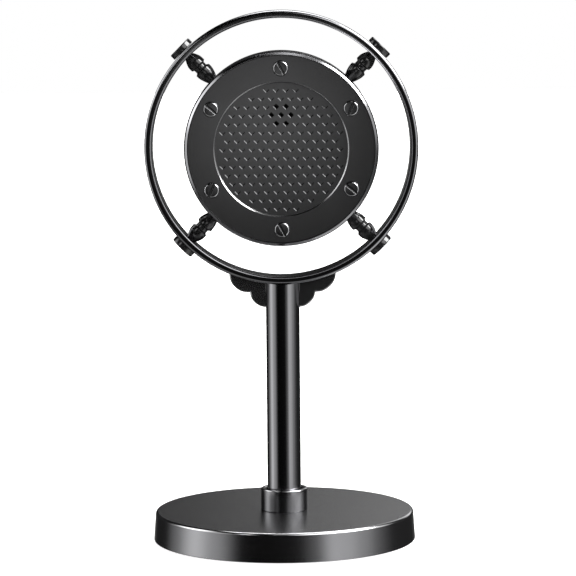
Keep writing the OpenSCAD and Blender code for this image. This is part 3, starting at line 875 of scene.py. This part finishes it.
def dust_cloth():
    """Stretched disc of plain weave, its threads standing a little proud."""
    low, high = box_mm("dust_cloth")
    cloth_r = (high.x - low.x) / 2
    relief = (high.y - low.y) / 2
    thread = 0.5
    steps_per_thread = 4
    rings = round(cloth_r / thread * steps_per_thread)
    bm = bmesh.new()
    front = []
    for i in range(1, rings + 1):
        circle = circle_points(cloth_r * i / rings, CLOTH_SPOKES)
        front.append([bm.verts.new((x, y, weave(x, y, thread) * relief)) for x, y in circle])
    centre = bm.verts.new((0, 0, 0))
    for i in range(CLOTH_SPOKES):
        j = (i + 1) % CLOTH_SPOKES
        bm.faces.new((centre, front[0][i], front[0][j]))
        for ring, outer in zip(front, front[1:]):
            bm.faces.new((ring[i], outer[i], outer[j], ring[j]))
    bmesh.ops.solidify(bm, geom=bm.faces[:], thickness=relief)
    bmesh.ops.recalc_face_normals(bm, faces=bm.faces)
    place = Matrix.Translation((0, (low.y + high.y) / 2, (low.z + high.z) / 2)) @ ON_HEAD_TURN
    cloth = piece(bm, "grille_cloth", "dust_cloth", UPPER, [CLOTH], place)


def weave(x, y, thread):
    """Height of a plain weave, from -0.5 to 0.5, with the threads' width."""
    ridge = math.sin(math.pi * x / thread) * math.sin(math.pi * y / thread)
    return ridge / 2


# ---- studio ----

# Small lamp at the face: azimuth, elevation, distance, width and height, power
FRONT_LAMP = (-2.4, 1, 0.17, (0.06, 0.06), 0.009)

CAMERA_DISTANCE = 1.101
CAMERA_HEIGHT = 0.2164
CAMERA_PITCH = 6.248
CAMERA_PAN = 0.107
CAMERA_ROLL = 0.5
CAMERA_LENS = 183.4
CAMERA_SENSOR = 36.0

FLOOR_REACH = 4.0
FLOOR_THICKNESS = 0.02
FLOOR_GREY = (0.5, 0.5, 0.5, 1)
FLOOR_ROUGHNESS = 0.9
FLOOR_LIGHT = 0.9
WHITE = (1, 1, 1, 1)
DOME_R = 6.0
# Upright soft strips round the set: azimuth in degrees from the front towards +X, and radiance
STRIPS = [
    (-180, 0.02), (-128, 0.02), (-112, 0.35), (-85, 1.45), (-64, 0.75), (-38, 0.004), (12, 0.008),
    (27, 0.2), (43, 1.1), (56, 0.9), (72, 0.42), (90, 0.16), (112, 0.03), (180, 0.02),
]
# Parts of a direction, sideways or upwards, over which the strips change sides, fade in and fade out
STRIPS_MIDDLE = (-0.05, 0.05)
STRIPS_START_LEFT = (-0.55, -0.30)
STRIPS_START_RIGHT = (-0.95, -0.60)
STRIPS_END = (0.6, 0.3)
# Round soft boxes: azimuth, elevation, radii of the full and of the faded light in degrees, radiance
SOFT_BOXES = [
    (75, 33, 20, 44, 0.9), (76, 42, 18, 21, 16.0), (-95, 28, 8, 24, 2.4), (28, 32, 8, 22, 2.6),
    (-36, 25, 3, 10, 2.4), (165, 67, 17, 26, 5.5), (95, -62, 10, 30, 0.7), (180, -22, 10, 26, 0.22),
]
# Panel behind the set, brighter at the right: radiance, and the directions over which it fades in
BACK_PANEL = 0.7
BACK_GAIN = 1.5
BACK_ACROSS = (-0.06, 0.08)
BACK_AWAY = (0.7, 0.95)
BACK_UP = (0.15, 0.24)
# Light that the floor throws back up: radiance, and the directions over which it fades in
FLOOR_GLOW = 0.35
GLOW_DOWN = (-0.35, -0.75)
GLOW_NEAR = (0.6, -0.3)


def stage_object(bm, name, material):
    """A stage piece from a mesh in metres."""
    obj = mesh_object(bm, name)
    obj.data.materials.append(material)
    return obj


def floor():
    """Pale floor. Reflections look through it, to the strips that reach below its level."""
    material, _, _, shader = new_material("floor")
    shader.inputs["Base Color"].default_value = FLOOR_GREY
    shader.inputs["Roughness"].default_value = FLOOR_ROUGHNESS
    shader.inputs["Specular IOR Level"].default_value = 0.0
    shader.inputs["Emission Color"].default_value = WHITE
    shader.inputs["Emission Strength"].default_value = FLOOR_LIGHT
    reach = FLOOR_REACH
    corners = [(-reach, -reach), (reach, -reach), (reach, reach), (-reach, reach)]
    obj = stage_object(prism(corners, -FLOOR_THICKNESS, 0), "floor", material)
    obj.visible_glossy = False


def backdrop():
    """White dome that only the camera sees."""
    material, nodes, links, shader = new_material("backdrop")
    emission = nodes.new("ShaderNodeEmission")
    links.new(emission.outputs["Emission"], nodes["Material Output"].inputs["Surface"])
    nodes.remove(shader)
    angles = [math.radians(angle) for angle in range(-80, 81, 10)]
    side = [(DOME_R * math.cos(a), DOME_R * math.sin(a)) for a in angles]
    obj = stage_object(lathe([(0, -DOME_R)] + side + [(0, DOME_R)], PILLAR_SIDES), "backdrop", material)
    obj.visible_glossy = False
    obj.visible_diffuse = False
    obj.visible_transmission = False
    obj.visible_shadow = False


def calculate(nodes, links, operation, *values):
    """Output of a math node. Each value is a number or another node's output."""
    node = nodes.new("ShaderNodeMath")
    node.operation = operation
    for socket, value in zip(node.inputs, values):
        if isinstance(value, (int, float)):
            socket.default_value = value
        else:
            links.new(value, socket)
    return node.outputs["Value"]


def fade(nodes, links, value, start, stop):
    """Smooth step from 0 at start to 1 at stop."""
    step = nodes.new("ShaderNodeMapRange")
    step.interpolation_type = "SMOOTHSTEP"
    step.inputs["From Min"].default_value = start
    step.inputs["From Max"].default_value = stop
    links.new(value, step.inputs["Value"])
    return step.outputs["Result"]


def studio_light():
    """Soft light from all round: upright strips, a back panel, the floor's glow and round boxes."""
    world = bpy.data.worlds.new("studio")
    bpy.context.scene.world = world
    world.use_nodes = True
    nodes, links = world.node_tree.nodes, world.node_tree.links
    coordinates = nodes.new("ShaderNodeTexCoord")
    axes = nodes.new("ShaderNodeSeparateXYZ")
    links.new(coordinates.outputs["Generated"], axes.inputs["Vector"])
    x, y, z = axes.outputs["X"], axes.outputs["Y"], axes.outputs["Z"]

    def sum_of(*values):
        return calculate(nodes, links, "ADD", *values)

    def product(*values):
        return calculate(nodes, links, "MULTIPLY", *values)

    azimuth = calculate(nodes, links, "ARCTAN2", x, product(y, -1.0))
    turn = sum_of(product(azimuth, 1 / (2 * math.pi)), 0.5)
    strips = nodes.new("ShaderNodeValToRGB")
    strips.color_ramp.interpolation = "EASE"
    stops = strips.color_ramp.elements
    while len(stops) < len(STRIPS):
        stops.new(0.5)
    for stop, (angle, radiance) in zip(stops, STRIPS):
        stop.position = angle / 360 + 0.5
        stop.color = (radiance, radiance, radiance, 1)
    links.new(turn, strips.inputs["Fac"])
    left_low = fade(nodes, links, z, *STRIPS_START_LEFT)
    right_low = fade(nodes, links, z, *STRIPS_START_RIGHT)
    on_right = fade(nodes, links, x, *STRIPS_MIDDLE)
    low = nodes.new("ShaderNodeMix")
    links.new(on_right, low.inputs["Factor"])
    links.new(left_low, low.inputs["A"])
    links.new(right_low, low.inputs["B"])
    upright = product(low.outputs["Result"], fade(nodes, links, z, *STRIPS_END))
    total = product(strips.outputs["Color"], upright)

    slope = product(fade(nodes, links, x, *BACK_ACROSS), BACK_GAIN)
    back = product(fade(nodes, links, y, *BACK_AWAY), fade(nodes, links, z, *BACK_UP))
    total = sum_of(total, product(product(back, slope), BACK_PANEL))
    glow = product(fade(nodes, links, z, *GLOW_DOWN), fade(nodes, links, y, *GLOW_NEAR))
    total = sum_of(total, product(glow, FLOOR_GLOW))
    for box_azimuth, box_elevation, full, faded, radiance in SOFT_BOXES:
        nearness = nodes.new("ShaderNodeVectorMath")
        nearness.operation = "DOT_PRODUCT"
        links.new(coordinates.outputs["Generated"], nearness.inputs[0])
        nearness.inputs[1].default_value = bearing(box_azimuth, box_elevation)
        edges = [math.cos(math.radians(angle)) for angle in (faded, full)]
        total = sum_of(total, product(fade(nodes, links, nearness.outputs["Value"], *edges), radiance))
    background = nodes["Background"]
    links.new(total, background.inputs["Strength"])
    background.inputs["Color"].default_value = WHITE


def bearing(azimuth, elevation):
    """Unit vector towards a place in the studio. Azimuth 0 is in front of the head, and 90 at +X."""
    a, e = math.radians(azimuth), math.radians(elevation)
    return Vector((math.sin(a) * math.cos(e), -math.cos(a) * math.cos(e), math.sin(e)))


def area_light(name, azimuth, elevation, distance, size, power, target):
    """Soft box that faces a point."""
    light = bpy.data.lights.new(name, "AREA")
    light.shape = "RECTANGLE"
    light.size, light.size_y = size
    light.energy = power
    obj = bpy.data.objects.new(name, light)
    bpy.context.collection.objects.link(obj)
    direction = bearing(azimuth, elevation)
    obj.location = target + direction * distance
    obj.rotation_euler = (-direction).to_track_quat("-Z", "Y").to_euler()
    obj.visible_camera = False


def camera():
    """Camera in front and a little above, looking down on the base."""
    data = bpy.data.cameras.new("camera")
    data.lens = CAMERA_LENS
    data.sensor_width = CAMERA_SENSOR
    obj = bpy.data.objects.new("camera", data)
    bpy.context.collection.objects.link(obj)
    obj.matrix_world = (
        Matrix.Translation((0, -CAMERA_DISTANCE, CAMERA_HEIGHT))
        @ Matrix.Rotation(math.radians(-CAMERA_PAN), 4, "Z")
        @ Matrix.Rotation(math.radians(90 - CAMERA_PITCH), 4, "X")
        @ Matrix.Rotation(math.radians(-CAMERA_ROLL), 4, "Z"))
    bpy.context.scene.camera = obj


dress_cad_nodes()
base_shell()
stem_collar()
stem_tube()
ring_bracket()
suspension_ring()
posts()
cap_screws()
head_shell()
face_plate()
face_screws()
grille_plate()
dust_cloth()
floor()
backdrop()
studio_light()
area_light("front_lamp", *FRONT_LAMP, Vector((0, 0, HEAD_Z * MM)))
camera()
bpy.context.scene.view_settings.view_transform = "Standard"
